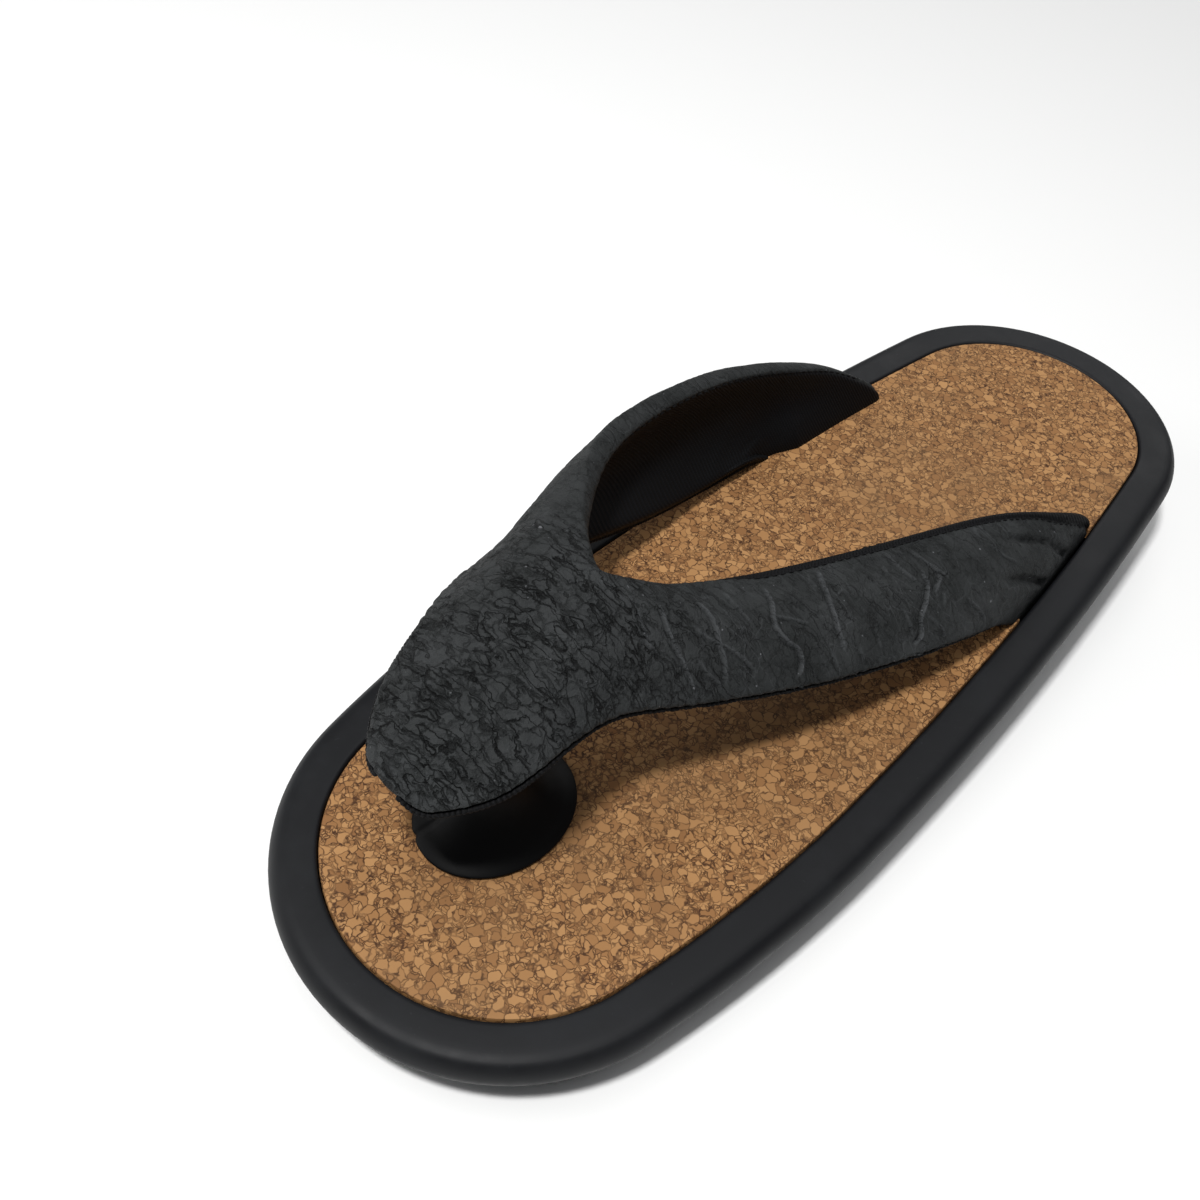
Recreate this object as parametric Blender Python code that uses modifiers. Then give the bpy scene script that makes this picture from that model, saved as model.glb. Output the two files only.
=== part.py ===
"""Left thong sandal: oval rubber sole in two layers, cork footbed, toe post and padded Y strap.

The shoe stands on its outsole with the toe towards -Y and the heel towards +Y.
Most sizes are set on the footbed plane, which rises from toe to heel by INCLINE.
"""
import math

import bmesh
import bpy
from mathutils import Matrix, Vector

MM = 0.001

# Footbed plan: two round ends joined by two long arcs on each side
FOOTBED_LENGTH = 259.4 * MM
BALL_HALF_WIDTH = 41.8 * MM
BALL_Y = -0.1465 * FOOTBED_LENGTH
TOE_RADIUS = 36.5 * MM
HEEL_RADIUS = 32.5 * MM

# Stack of layers under the footbed plane
INSOLE_THICKNESS = 3.0 * MM
MIDSOLE_THICKNESS = 8.4 * MM
HEEL_HEIGHT = 26.5 * MM
INCLINE = math.radians(2.55)
TOE_SPRING = 3.0 * MM
TOE_SPRING_LENGTH = 36.0 * MM
TOE_SPRING_POWER = 1.6
CLEARANCE = 0.3 * MM
FIT_MARGIN = 2.4 * MM
FRONT_FIT_MARGIN = 5.6 * MM
WELL_RELIEF = 0.15 * MM

# Side of the sole, measured out from the footbed's edge
RIM_WIDTH = 10.3 * MM
RIM_TOE_WIDTH = 9.5 * MM
RIM_HEEL_WIDTH = 12.0 * MM
RIM_FLAT = 6.6 * MM
RIM_BULGE_DEPTH = 4.2 * MM
RIM_FOOT = 8.3 * MM
RIM_LIP = 0.5 * MM
OUTSOLE_OVERHANG = 6.9 * MM
OUTSOLE_CHAMFER = 0.9 * MM
UNDERSIDE_STEPS = (0.19, 0.48, 0.89)

# Padded strap
WALL = 5.5 * MM
INSTEP_HEIGHT = 40.0 * MM
STRAP_BELLY = 5.0 * MM
STRAP_FRONT_END = 0.128
STRAP_REAR_END = 0.283
STRAP_BURIED = 5.2 * MM
ROWS_PER_SECTION = 2
STEPS_ACROSS = 4

# Toe post
POST_X = -0.1627 * BALL_HALF_WIDTH
POST_Y = -0.3497 * FOOTBED_LENGTH
POST_HALF_WIDTH = 14.5 * MM
POST_HALF_LENGTH = 17.6 * MM
NECK_RADIUS = 3.8 * MM
HEAD_RADIUS = 6.5 * MM
HEAD_DEPTH = 2.2 * MM
ROOT_RADIUS = 4.0 * MM
ROOT_DEPTH = 6.4 * MM
POST_SIDES = 40

TOE_ARC_STEPS = 20
HEEL_ARC_STEPS = 20
SIDE_ARC_STEPS = 8

# Sections of the strap from the lobe's tip to the slot.
# Columns: inner y, inner x, inner height, outer y, outer x, outer height, belly, crown power.
# Lengths are shares: y of FOOTBED_LENGTH, x of BALL_HALF_WIDTH, height of INSTEP_HEIGHT,
# belly of STRAP_BELLY. The first SPINE_ROWS inner points lie on the lobe's middle line.
SPINE_ROWS = 4
LATERAL_SECTIONS = (
    (-0.434, -0.22, 0.79, -0.432, -0.06, 0.76, 0.0, 2.0),
    (-0.384, -0.23, 0.89, -0.395, 0.11, 0.81, 0.0, 2.0),
    (-0.312, -0.25, 0.96, -0.341, 0.11, 0.84, 0.1, 2.0),
    (-0.243, -0.31, 1.00, -0.287, 0.12, 0.80, 0.3, 1.6),
    (-0.204, -0.11, 0.89, -0.227, 0.28, 0.69, 0.5, 1.2),
    (-0.112, 0.08, 0.69, -0.135, 0.52, 0.55, 0.7, 1.0),
    (0.021, 0.34, 0.54, -0.054, 0.68, 0.44, 0.6, 1.0),
    (0.150, 0.56, 0.39, 0.027, 0.79, 0.31, 0.5, 1.0),
    (0.239, 0.77, 0.19, 0.090, 0.85, 0.18, 0.3, 1.0),
)
MEDIAL_SECTIONS = (
    (-0.434, -0.22, 0.79, -0.430, -0.35, 0.76, 0.0, 2.0),
    (-0.384, -0.23, 0.89, -0.395, -0.53, 0.81, 0.0, 2.0),
    (-0.312, -0.25, 0.96, -0.343, -0.66, 0.84, 0.1, 2.0),
    (-0.243, -0.31, 1.00, -0.289, -0.81, 0.75, 0.5, 1.6),
    (-0.208, -0.61, 0.94, -0.222, -0.91, 0.61, 0.8, 1.2),
    (-0.116, -0.99, 0.87, -0.146, -0.91, 0.43, 1.0, 1.0),
    (0.004, -1.09, 0.75, -0.060, -0.91, 0.25, 1.0, 1.0),
    (0.120, -1.05, 0.55, 0.016, -0.925, 0.13, 0.8, 1.0),
    (0.220, -0.94, 0.28, 0.092, -0.90, 0.11, 0.5, 1.0),
)

TOE_CENTRE_Y = -FOOTBED_LENGTH / 2 + TOE_RADIUS
HEEL_CENTRE_Y = FOOTBED_LENGTH / 2 - HEEL_RADIUS
DECK_LIFT = HEEL_HEIGHT - math.sin(INCLINE) * FOOTBED_LENGTH / 2
CENTRE_SHIFT = (-RIM_BULGE_DEPTH * math.sin(INCLINE)
                + (RIM_TOE_WIDTH - RIM_HEEL_WIDTH) / 2 * math.cos(INCLINE))


def on_deck(x, y, height):
    """Turn footbed coordinates into the shoe's own frame."""
    return Vector((
        x,
        y * math.cos(INCLINE) - height * math.sin(INCLINE) + CENTRE_SHIFT,
        DECK_LIFT + y * math.sin(INCLINE) + height * math.cos(INCLINE),
    ))


def side_radius(widest, end_radius, end_centre_y):
    """Radius of the side arc that touches an end arc and is widest at the ball."""
    run = BALL_Y - end_centre_y
    return (widest ** 2 + run ** 2 - end_radius ** 2) / (2 * (widest - end_radius))


def arc(centre, radius, start, end, steps):
    """Points along an arc, without its last point."""
    angles = (start + (end - start) * i / steps for i in range(steps))
    return [(centre[0] + radius * math.cos(a), centre[1] + radius * math.sin(a)) for a in angles]


def end_centres(offset):
    """Places of the toe and heel arcs' centres: the rim is narrower at the toe than at the heel."""
    share = max(offset, 0.0) / RIM_WIDTH
    toe_y = TOE_CENTRE_Y + (RIM_WIDTH - RIM_TOE_WIDTH) * share
    heel_y = HEEL_CENTRE_Y + (RIM_HEEL_WIDTH - RIM_WIDTH) * share
    return toe_y, heel_y


def sole_outline(offset):
    """Footbed outline grown by offset, anticlockwise from the ball on the lateral side."""
    widest = BALL_HALF_WIDTH + offset
    toe_radius = TOE_RADIUS + offset
    heel_radius = HEEL_RADIUS + offset
    toe_y, heel_y = end_centres(offset)
    front = side_radius(widest, toe_radius, toe_y)
    rear = side_radius(widest, heel_radius, heel_y)
    heel_angle = math.asin((heel_y - BALL_Y) / (rear - heel_radius))
    toe_angle = math.asin((BALL_Y - toe_y) / (front - toe_radius))
    right_rear = arc((widest - rear, BALL_Y), rear, 0, heel_angle, SIDE_ARC_STEPS)
    heel = arc((0, heel_y), heel_radius, heel_angle, math.pi - heel_angle, HEEL_ARC_STEPS)
    left_rear = arc((rear - widest, BALL_Y), rear, math.pi - heel_angle, math.pi, SIDE_ARC_STEPS)
    left_front = arc((front - widest, BALL_Y), front, math.pi, math.pi + toe_angle, SIDE_ARC_STEPS)
    toe = arc((0, toe_y), toe_radius, math.pi + toe_angle, 2 * math.pi - toe_angle, TOE_ARC_STEPS)
    right_front = arc((widest - front, BALL_Y), front, -toe_angle, 0, SIDE_ARC_STEPS)
    return right_rear + heel + left_rear + left_front + toe + right_front


def half_width(y, offset=0.0):
    """Distance from the middle line to the grown outline, on the side arcs."""
    widest = BALL_HALF_WIDTH + offset
    toe_y, heel_y = end_centres(offset)
    if y > BALL_Y:
        radius = side_radius(widest, HEEL_RADIUS + offset, heel_y)
    else:
        radius = side_radius(widest, TOE_RADIUS + offset, toe_y)
    return widest - radius + math.sqrt(radius ** 2 - (y - BALL_Y) ** 2)


def ground_height(y):
    """Height of the outsole's underside: flat, with the toe end curling up."""
    start = -FOOTBED_LENGTH / 2 - OUTSOLE_OVERHANG + TOE_SPRING_LENGTH
    curl = max(0.0, (start - y) / TOE_SPRING_LENGTH)
    return TOE_SPRING * curl ** TOE_SPRING_POWER


def material(name, colour, roughness):
    """Principled material in one colour."""
    made = bpy.data.materials.new(name)
    made.use_nodes = True
    shader = made.node_tree.nodes["Principled BSDF"]
    shader.inputs["Base Color"].default_value = (*colour, 1.0)
    shader.inputs["Roughness"].default_value = roughness
    shader.inputs["Metallic"].default_value = 0.0
    made.diffuse_color = (*colour, 1.0)
    return made


def add_object(name, bm, collection, look=None, smooth_angle=40.0):
    """Object from a bmesh, with its faces outwards."""
    bmesh.ops.recalc_face_normals(bm, faces=bm.faces)
    if bm.calc_volume(signed=True) < 0:
        bmesh.ops.reverse_faces(bm, faces=bm.faces)
    mesh = bpy.data.meshes.new(name)
    bm.to_mesh(mesh)
    bm.free()
    mesh.shade_smooth()
    mesh.set_sharp_from_angle(angle=math.radians(smooth_angle))
    made = bpy.data.objects.new(name, mesh)
    collection.objects.link(made)
    if look:
        mesh.materials.append(look)
    else:
        made.hide_render = True
        made.display_type = "WIRE"
    return made


def loft(rings):
    """Closed bmesh through rings of equal length, with a flat face on each end."""
    bm = bmesh.new()
    loops = [[bm.verts.new(point) for point in ring] for ring in rings]
    for low, high in zip(loops, loops[1:]):
        for i in range(len(low)):
            bm.faces.new((low[i - 1], low[i], high[i], high[i - 1]))
    bm.faces.new(loops[0])
    bm.faces.new(loops[-1])
    return bm


def deck_ring(offset, height):
    """Sole outline at a height over the footbed plane."""
    return [on_deck(x, y, height) for x, y in sole_outline(offset)]


def cut(target, cutter):
    """Take a cutter's shape out of a piece."""
    boolean = target.modifiers.new("Cut " + cutter.name, "BOOLEAN")
    boolean.operation = "DIFFERENCE"
    boolean.solver = "EXACT"
    boolean.object = cutter


def build_insole(collection, look):
    """Cork plate that lies in the midsole's tray."""
    edge = RIM_LIP
    rows = ((-edge, -INSOLE_THICKNESS), (0.0, edge - INSOLE_THICKNESS), (0.0, -edge), (-edge, 0.0))
    return add_object("insole", loft([deck_ring(*row) for row in rows]), collection, look)


def build_midsole(collection, look):
    """Upper rubber layer: a tray for the footbed inside a rounded rim."""
    tray_floor = -INSOLE_THICKNESS - CLEARANCE
    rows = (
        (CLEARANCE, tray_floor),
        (CLEARANCE, -RIM_LIP),
        (CLEARANCE + RIM_LIP, 0.0),
        (RIM_FLAT, 0.0),
        (RIM_FLAT + (RIM_WIDTH - RIM_FLAT) * 0.5, -RIM_BULGE_DEPTH * 0.14),
        (RIM_FLAT + (RIM_WIDTH - RIM_FLAT) * 0.85, -RIM_BULGE_DEPTH * 0.48),
        (RIM_WIDTH, -RIM_BULGE_DEPTH),
        (RIM_WIDTH - (RIM_WIDTH - RIM_FOOT) * 0.3, -(RIM_BULGE_DEPTH + MIDSOLE_THICKNESS) * 0.5),
        (RIM_WIDTH - (RIM_WIDTH - RIM_FOOT) * 0.7, -MIDSOLE_THICKNESS + RIM_LIP),
        (RIM_FOOT, -MIDSOLE_THICKNESS),
    )
    return add_object("midsole", loft([deck_ring(*row) for row in rows]), collection, look)


def outsole_ring(offset, depth_share):
    """Ring between the midsole's underside and the ground."""
    top = -MIDSOLE_THICKNESS - CLEARANCE
    ring = []
    for x, y in sole_outline(offset):
        high = on_deck(x, y, top)
        low = Vector((high.x, high.y, ground_height(high.y)))
        ring.append(high.lerp(low, depth_share))
    return ring


def build_outsole(collection, look):
    """Lower rubber layer: a wedge that is thickest at the heel and curls up at the toe."""
    edge = OUTSOLE_OVERHANG
    underside = [edge - OUTSOLE_CHAMFER] + [edge - share * BALL_HALF_WIDTH for share in UNDERSIDE_STEPS]
    rings = [outsole_ring(edge - OUTSOLE_CHAMFER, 0.0), outsole_ring(edge, 0.09), outsole_ring(edge, 0.9)]
    rings += [outsole_ring(offset, 1.0) for offset in underside]
    return add_object("outsole", loft(rings), collection, look)


def slot_cutter(name, side, collection, offsets, heights):
    """Block along the footbed's edge that a strap's end goes down through."""
    inner, outer = offsets
    front = STRAP_FRONT_END * FOOTBED_LENGTH - WALL / 2 - FRONT_FIT_MARGIN
    rear = STRAP_REAR_END * FOOTBED_LENGTH + WALL / 2 + FIT_MARGIN
    steps = 6
    stations = [front + (rear - front) * i / steps for i in range(steps + 1)]
    plan = [(side * half_width(y, inner), y) for y in stations]
    plan += [(side * half_width(y, outer), y) for y in reversed(stations)]
    rings = [[on_deck(x, y, height) for x, y in plan] for height in heights]
    return add_object(name, loft(rings), collection)


def smooth_row(rows, position):
    """Row between two table rows, on a curve through all of them."""
    index = min(int(position), len(rows) - 2)
    share = position - index
    before = rows[max(index - 1, 0)]
    start, end = rows[index], rows[index + 1]
    after = rows[min(index + 2, len(rows) - 1)]
    mixed = []
    for a, b, c, d in zip(before, start, end, after):
        mixed.append(0.5 * (2 * b + (c - a) * share + (2 * a - 5 * b + 4 * c - d) * share ** 2
                            + (3 * b - a - 3 * c + d) * share ** 3))
    return mixed


def scaled_sections(table):
    """Table rows as lengths."""
    units = (FOOTBED_LENGTH, BALL_HALF_WIDTH, INSTEP_HEIGHT) * 2 + (STRAP_BELLY, 1.0)
    return [[value * unit for value, unit in zip(row, units)] for row in table]


def slot_row(side, height):
    """Points of a strap end in its slot, along the footbed's edge."""
    rear = STRAP_REAR_END * FOOTBED_LENGTH
    front = STRAP_FRONT_END * FOOTBED_LENGTH
    points = []
    for step in range(STEPS_ACROSS + 1):
        y = rear + (front - rear) * step / STEPS_ACROSS
        points.append(Vector((side * (half_width(y) - WALL / 2 - CLEARANCE), y, height)))
    return points


def strap_rows(table, side):
    """Rows of points of one strap's middle surface, from the lobe's tip into the slot."""
    sections = scaled_sections(table)
    places = [i / ROWS_PER_SECTION for i in range((len(sections) - 1) * ROWS_PER_SECTION + 1)]
    rows = []
    for place in places:
        inner_y, inner_x, inner_h, outer_y, outer_x, outer_h, belly, power = smooth_row(sections, place)
        ahead = smooth_row(sections, min(place + 0.5, len(sections) - 1))
        behind = smooth_row(sections, max(place - 0.5, 0))
        across = Vector((outer_x - inner_x, outer_y - inner_y, outer_h - inner_h))
        along = Vector((ahead[1] + ahead[4] - behind[1] - behind[4],
                        ahead[0] + ahead[3] - behind[0] - behind[3],
                        ahead[2] + ahead[5] - behind[2] - behind[5]))
        outwards = across.cross(along).normalized() * side
        row = []
        for step in range(STEPS_ACROSS + 1):
            t = step / STEPS_ACROSS
            height = outer_h + (inner_h - outer_h) * (1 - t ** power)
            point = Vector((inner_x + (outer_x - inner_x) * t, inner_y + (outer_y - inner_y) * t, height))
            row.append(point + outwards * belly * 4 * t * (1 - t))
        rows.append(row)
    mouth = slot_row(side, 0.0)
    last = rows[-1]
    rows.append([a.lerp(b, 0.55) for a, b in zip(last, mouth)])
    rows.append(mouth)
    rows.append(slot_row(side, -STRAP_BURIED + WALL / 2))
    return rows


def rolled_edge(bm, width):
    """Widen an open sheet by the radius of its rolled edge."""
    rim = [edge for edge in bm.edges if edge.is_boundary]
    directions = {}
    for vert in {v for edge in rim for v in edge.verts}:
        ends = [edge.other_vert(vert).co for edge in vert.link_edges if edge.is_boundary]
        tangent = (ends[0] - ends[1]).normalized()
        inside = sum((face.calc_center_median() for face in vert.link_faces), Vector()) / len(vert.link_faces)
        away = vert.co - inside
        directions[vert.co.copy().freeze()] = (away - tangent * away.dot(tangent)).normalized()
    extruded = bmesh.ops.extrude_edge_only(bm, edges=rim)["geom"]
    for vert in (item for item in extruded if isinstance(item, bmesh.types.BMVert)):
        vert.co += directions[vert.co.copy().freeze()] * width


def build_upper(collection, look):
    """Padded Y strap: two straps that share the middle line of the front lobe."""
    bm = bmesh.new()
    spine = []
    for table, side in ((LATERAL_SECTIONS, 1), (MEDIAL_SECTIONS, -1)):
        grid = []
        for index, row in enumerate(strap_rows(table, side)):
            verts = []
            for step, point in enumerate(row):
                shared = step == 0 and index < len(spine)
                verts.append(spine[index] if shared else bm.verts.new(on_deck(*point)))
            grid.append(verts)
        if not spine:
            spine = [row[0] for row in grid[:(SPINE_ROWS - 1) * ROWS_PER_SECTION + 1]]
        for low, high in zip(grid, grid[1:]):
            for i in range(STEPS_ACROSS):
                bm.faces.new((low[i], low[i + 1], high[i + 1], high[i]))
    bmesh.ops.recalc_face_normals(bm, faces=bm.faces)
    rolled_edge(bm, WALL / 2)
    upper = add_object("upper", bm, collection, look, 180.0)
    wall = upper.modifiers.new("Wall", "SOLIDIFY")
    wall.thickness = WALL
    wall.offset = 0.0
    soft = upper.modifiers.new("Padding", "SUBSURF")
    soft.levels = 1
    soft.render_levels = 1
    return upper


def lobe_height(x, y):
    """Height of the lobe's middle surface over the footbed, at the toe post."""
    sections = scaled_sections(LATERAL_SECTIONS)[:SPINE_ROWS]
    for low, high in zip(sections, sections[1:]):
        if low[0] <= y <= high[0]:
            return low[2] + (high[2] - low[2]) * (y - low[0]) / (high[0] - low[0])
    return sections[0][2]


def build_toe_post(collection, look):
    """Trumpet-shaped post, oval in plan, with a root in the sole and a head in the lobe."""
    top = lobe_height(POST_X, POST_Y) - WALL / 2 + HEAD_DEPTH
    base = CLEARANCE
    profile = (
        (0.0, top),
        (HEAD_RADIUS * 0.8, top),
        (HEAD_RADIUS, top - HEAD_DEPTH * 0.5),
        (HEAD_RADIUS * 0.85, top - HEAD_DEPTH * 1.7),
        (NECK_RADIUS, top - HEAD_DEPTH * 3.2),
        (NECK_RADIUS, base + (top - base) * 0.48),
        (NECK_RADIUS * 1.25, base + (top - base) * 0.34),
        (POST_HALF_WIDTH * 0.48, base + (top - base) * 0.20),
        (POST_HALF_WIDTH * 0.72, base + (top - base) * 0.105),
        (POST_HALF_WIDTH * 0.92, base + (top - base) * 0.05),
        (POST_HALF_WIDTH, base + (top - base) * 0.02),
        (POST_HALF_WIDTH * 0.97, base),
        (ROOT_RADIUS, base),
        (ROOT_RADIUS, -ROOT_DEPTH),
        (0.0, -ROOT_DEPTH),
    )
    bm = bmesh.new()
    verts = [bm.verts.new((radius, 0.0, height)) for radius, height in profile]
    for pair in zip(verts, verts[1:]):
        bm.edges.new(pair)
    mesh = bpy.data.meshes.new("toe_post")
    bm.to_mesh(mesh)
    bm.free()
    mesh.materials.append(look)
    post = bpy.data.objects.new("toe_post", mesh)
    collection.objects.link(post)
    screw = post.modifiers.new("Turn", "SCREW")
    screw.axis = "Z"
    screw.angle = 2 * math.pi
    screw.steps = POST_SIDES
    screw.render_steps = POST_SIDES
    screw.use_merge_vertices = True
    screw.merge_threshold = 0.01 * MM
    screw.use_smooth_shade = True
    oval = Matrix.Diagonal((1.0, POST_HALF_LENGTH / POST_HALF_WIDTH, 1.0, 1.0))
    tilt = Matrix.Rotation(INCLINE, 4, "X")
    post.matrix_world = Matrix.Translation(on_deck(POST_X, POST_Y, 0.0)) @ tilt @ oval
    return post


def post_hole(name, collection, radius, low, high):
    """Oval hole cutter on the toe post's axis."""
    bm = bmesh.new()
    bmesh.ops.create_cone(bm, cap_ends=True, segments=POST_SIDES, radius1=radius, radius2=radius,
                          depth=high - low)
    stretch = (radius + (POST_HALF_LENGTH / POST_HALF_WIDTH - 1) * radius) / radius
    bmesh.ops.scale(bm, vec=(1.0, stretch, 1.0), verts=bm.verts)
    bmesh.ops.rotate(bm, cent=(0, 0, 0), matrix=Matrix.Rotation(INCLINE, 3, "X"), verts=bm.verts)
    bmesh.ops.translate(bm, vec=on_deck(POST_X, POST_Y, (low + high) / 2), verts=bm.verts)
    return add_object(name, bm, collection)


def main():
    for old in list(bpy.data.objects):
        bpy.data.objects.remove(old, do_unlink=True)
    scene = bpy.context.scene.collection
    shoe = bpy.data.collections.new("thong_sandal")
    cutters = bpy.data.collections.new("cutters")
    scene.children.link(shoe)
    scene.children.link(cutters)

    cork = material("Agglomerated cork", (0.36, 0.20, 0.10), 0.75)
    rim_rubber = material("Moulded black rubber", (0.016, 0.018, 0.022), 0.45)
    sole_rubber = material("Matte black rubber", (0.022, 0.024, 0.028), 0.7)
    post_rubber = material("Smooth black rubber", (0.012, 0.012, 0.014), 0.4)
    crinkle = material("Crinkled plant-fibre sheet", (0.028, 0.029, 0.032), 0.8)

    insole = build_insole(shoe, cork)
    midsole = build_midsole(shoe, rim_rubber)
    build_outsole(shoe, sole_rubber)
    upper = build_upper(shoe, crinkle)
    build_toe_post(shoe, post_rubber)

    pocket = -WALL - FIT_MARGIN
    for name, side in (("lateral", 1), ("medial", -1)):
        notch = slot_cutter(name + "_notch", side, cutters, (pocket, RIM_WIDTH), (-MIDSOLE_THICKNESS, RIM_WIDTH))
        cut(insole, notch)
        well = slot_cutter(name + "_well", side, cutters, (pocket, CLEARANCE + WELL_RELIEF),
                           (-STRAP_BURIED - CLEARANCE * 2, RIM_WIDTH))
        cut(midsole, well)
    root = post_hole("root_hole", cutters, ROOT_RADIUS + CLEARANCE, -ROOT_DEPTH - CLEARANCE, WALL)
    cut(insole, root)
    cut(midsole, root)
    under_lobe = lobe_height(POST_X, POST_Y) - WALL / 2
    socket = post_hole("head_socket", cutters, HEAD_RADIUS + CLEARANCE, under_lobe - WALL * 2,
                       under_lobe + HEAD_DEPTH + CLEARANCE)
    cut(upper, socket)


main()
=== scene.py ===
import math

import bmesh
import bpy
import numpy as np
from mathutils import Matrix, Vector, kdtree, noise


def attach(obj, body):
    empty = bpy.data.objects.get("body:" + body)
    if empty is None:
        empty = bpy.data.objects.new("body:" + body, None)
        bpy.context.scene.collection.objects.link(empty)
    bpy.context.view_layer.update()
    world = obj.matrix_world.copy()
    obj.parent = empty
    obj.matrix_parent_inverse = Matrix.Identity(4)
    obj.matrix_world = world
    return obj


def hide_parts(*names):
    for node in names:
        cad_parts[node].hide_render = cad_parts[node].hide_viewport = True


# Left thong sandal, toe towards -Y, little-toe side towards +X. Lengths in the dictionaries are millimetres.

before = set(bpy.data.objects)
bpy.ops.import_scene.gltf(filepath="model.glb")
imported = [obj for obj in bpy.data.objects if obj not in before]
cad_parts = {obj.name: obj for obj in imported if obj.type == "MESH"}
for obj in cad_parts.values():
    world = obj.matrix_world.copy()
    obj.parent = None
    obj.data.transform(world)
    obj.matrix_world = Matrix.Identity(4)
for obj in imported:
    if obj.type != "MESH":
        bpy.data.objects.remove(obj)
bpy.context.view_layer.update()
mm = 0.001
print("stage: frame loaded")


def fromHex(code):
    # sRGB hex to linear
    channels = [int(code[i:i + 2], 16) / 255 for i in (1, 3, 5)]
    linear = [c / 12.92 if c <= 0.04045 else ((c + 0.055) / 1.055) ** 2.4 for c in channels]
    return (*linear, 1.0)


def addNode(tree, kind, inputs=None, stops=None, **settings):
    # adds one node, with its settings, values and links
    node = tree.nodes.new(kind)
    for key, value in settings.items():
        setattr(node, key, value)
    for name, value in (inputs or {}).items():
        socket = node.inputs[name]
        if isinstance(value, bpy.types.NodeSocket):
            tree.links.new(value, socket)
        else:
            socket.default_value = value
    if stops:
        ramp = node.color_ramp
        while len(ramp.elements) > 1:
            ramp.elements.remove(ramp.elements[-1])
        ramp.elements[0].position = stops[0][0]
        ramp.elements[0].color = stops[0][1]
        for place, colour in stops[1:]:
            ramp.elements.new(place).color = colour
    return node


def newMaterial(name, roughness, specular=0.5):
    # Principled surface; returns the material, its tree and the shader
    made = bpy.data.materials.new(name)
    made.use_nodes = True
    tree = made.node_tree
    shader = tree.nodes["Principled BSDF"]
    shader.inputs["Roughness"].default_value = roughness
    shader.inputs["Specular IOR Level"].default_value = specular
    return made, tree, shader


def millimetres(tree, turn=(0, 0, 0), stretch=(1, 1, 1)):
    # object coordinates in millimetres
    place = addNode(tree, "ShaderNodeTexCoord")
    scale = [1000 * s for s in stretch]
    return addNode(tree, "ShaderNodeMapping", {"Vector": place.outputs["Object"], "Rotation": turn,
                                               "Scale": scale}).outputs["Vector"]


def calc(tree, operation, *values, clamp=False):
    # result of one maths node
    return addNode(tree, "ShaderNodeMath", dict(enumerate(values)), operation=operation,
                   use_clamp=clamp).outputs[0]


def ranged(tree, value, low, high, toLow=0.0, toHigh=1.0):
    # a value taken from one range to another and held inside it
    return addNode(tree, "ShaderNodeMapRange", {"Value": value, "From Min": low, "From Max": high,
                                                "To Min": toLow, "To Max": toHigh}).outputs["Result"]


def noiseField(tree, place, scale, detail, roughness=0.5, distortion=0.0):
    return addNode(tree, "ShaderNodeTexNoise", {"Vector": place, "Scale": scale, "Detail": detail,
                                                "Roughness": roughness,
                                                "Distortion": distortion}).outputs["Fac"]


def randomShift(tree, place, scale, detail, roughness=0.5):
    # slowly changing random vector, centred on zero
    colour = addNode(tree, "ShaderNodeTexNoise", {"Vector": place, "Scale": scale, "Detail": detail,
                                                  "Roughness": roughness}).outputs["Color"]
    return addNode(tree, "ShaderNodeVectorMath", {0: colour, 1: (0.5, 0.5, 0.5)},
                   operation="SUBTRACT").outputs[0]


def shifted(tree, place, shift, reach):
    return addNode(tree, "ShaderNodeVectorMath", {0: shift, 1: (reach, reach, reach), 2: place},
                   operation="MULTIPLY_ADD").outputs[0]


def cells(tree, place, size, feature):
    return addNode(tree, "ShaderNodeTexVoronoi", {"Vector": place, "Scale": 1 / size},
                   feature=feature).outputs


def blend(tree, share, first, second):
    # share of the second colour over the first
    return addNode(tree, "ShaderNodeMix", {"Factor": share, 6: first, 7: second},
                   data_type="RGBA").outputs[2]


def blendValues(tree, share, first, second):
    return addNode(tree, "ShaderNodeMix", {"Factor": share, 2: first, 3: second}).outputs[0]


def attributeOf(tree, name):
    return addNode(tree, "ShaderNodeAttribute", attribute_name=name).outputs["Fac"]


def dress(tree, shader, colour, height, strength, reach):
    # links the base colour and the bump to the shader
    bump = addNode(tree, "ShaderNodeBump", {"Strength": strength, "Distance": reach, "Height": height})
    tree.links.new(colour, shader.inputs["Base Color"])
    tree.links.new(bump.outputs["Normal"], shader.inputs["Normal"])


# the sole's plan and the footbed's slope
sole = {
    "footbedLength": 259.4, "ballHalfWidth": 41.8, "ballY": -38.0, "toeRadius": 36.5, "heelRadius": 32.5,
    "insole": 3.0, "midsole": 8.4, "heelHeight": 26.5, "incline": math.radians(2.55),
    "toeSpring": 3.0, "toeSpringLength": 36.0, "toeSpringPower": 1.6, "gap": 0.3,
    "rimWidth": 10.3, "rimToeWidth": 9.5, "rimHeelWidth": 12.0, "bulgeDepth": 4.2,
    "overhang": 6.9, "arcSteps": 48, "sideSteps": 40, "sharpAngle": math.radians(40),
}
deckLift = sole["heelHeight"] - math.sin(sole["incline"]) * sole["footbedLength"] / 2
centreShift = (-sole["bulgeDepth"] * math.sin(sole["incline"])
               + (sole["rimToeWidth"] - sole["rimHeelWidth"]) / 2 * math.cos(sole["incline"]))


def onDeck(x, y, height):
    # footbed millimetres to the frame's metres
    cosine = math.cos(sole["incline"])
    sine = math.sin(sole["incline"])
    return Vector((x, y * cosine - height * sine + centreShift, deckLift + y * sine + height * cosine)) * mm


def endCentres(offset):
    share = max(offset, 0.0) / sole["rimWidth"]
    half = sole["footbedLength"] / 2
    toeY = -half + sole["toeRadius"] + (sole["rimWidth"] - sole["rimToeWidth"]) * share
    heelY = half - sole["heelRadius"] + (sole["rimHeelWidth"] - sole["rimWidth"]) * share
    return toeY, heelY


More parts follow.
